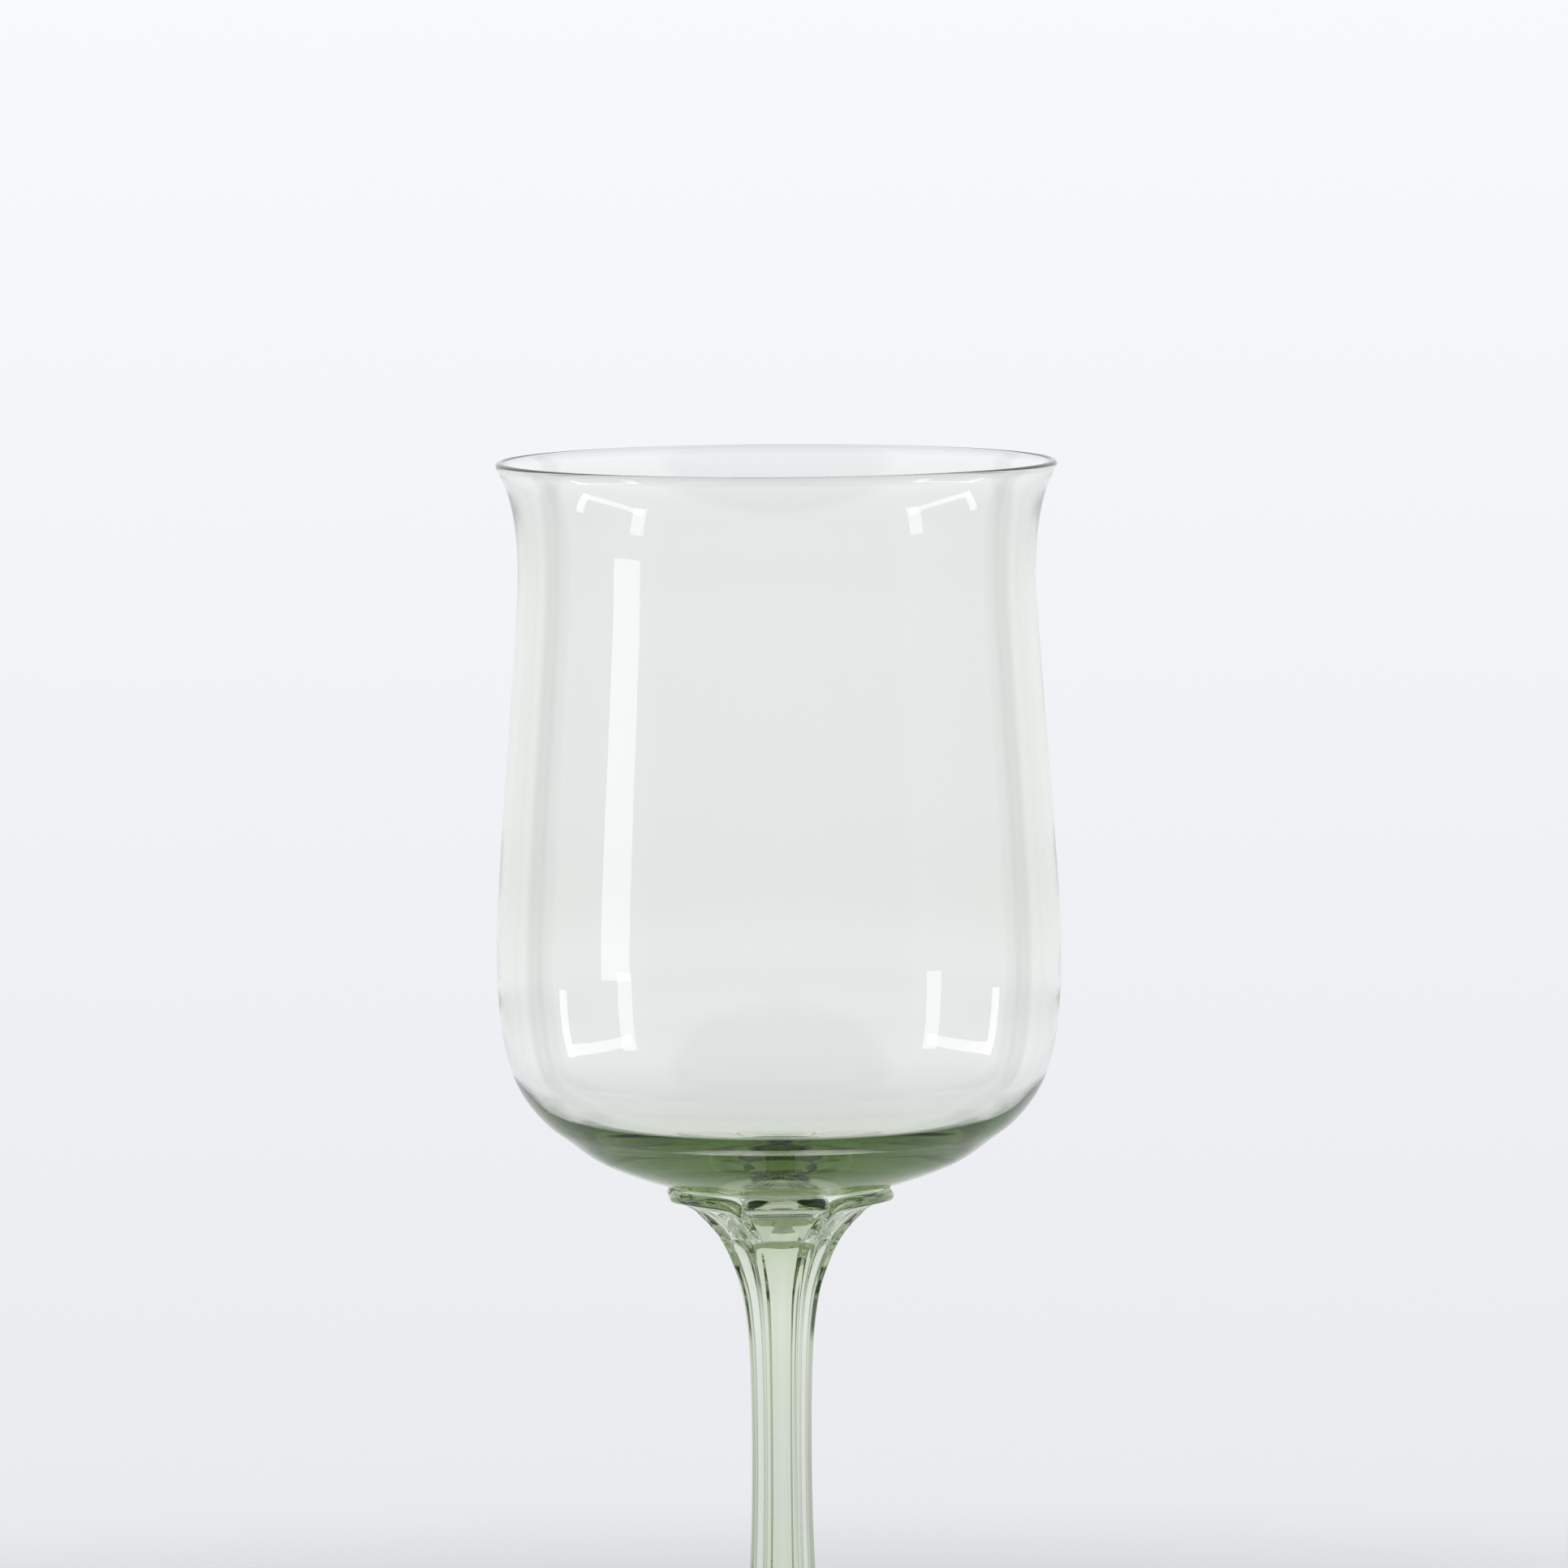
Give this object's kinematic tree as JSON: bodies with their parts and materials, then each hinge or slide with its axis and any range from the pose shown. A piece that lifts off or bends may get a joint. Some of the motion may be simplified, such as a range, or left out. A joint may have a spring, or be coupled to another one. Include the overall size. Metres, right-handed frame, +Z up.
{
  "type": "wine glass",
  "caption": "Stemmed wine glass: a thin tulip bowl with a flared lip on a fluted stem with a petal calyx, standing on a disc foot, to hold wine or another drink",
  "frame": {"origin": "centre of the ring of the foot that the glass stands on", "axes": "+Z up along the stem to the rim, -Y towards the viewer, +X to the viewer's right"},
  "size_m": [0.08, 0.08, 0.19],
  "materials": {
    "blown_glass": "blown soda-lime glass, fire-polished, very pale grey-green where thin and green where thick",
    "stem_glass": "pressed soda-lime glass, fire-polished, pale green",
    "foot_glass": "spun soda-lime glass, fire-polished, pale green"
  },
  "bodies": {
    "root": {"bowl": "blown_glass", "merese": "stem_glass", "stem": "stem_glass", "foot": "foot_glass"}
  },
  "joints": []
}
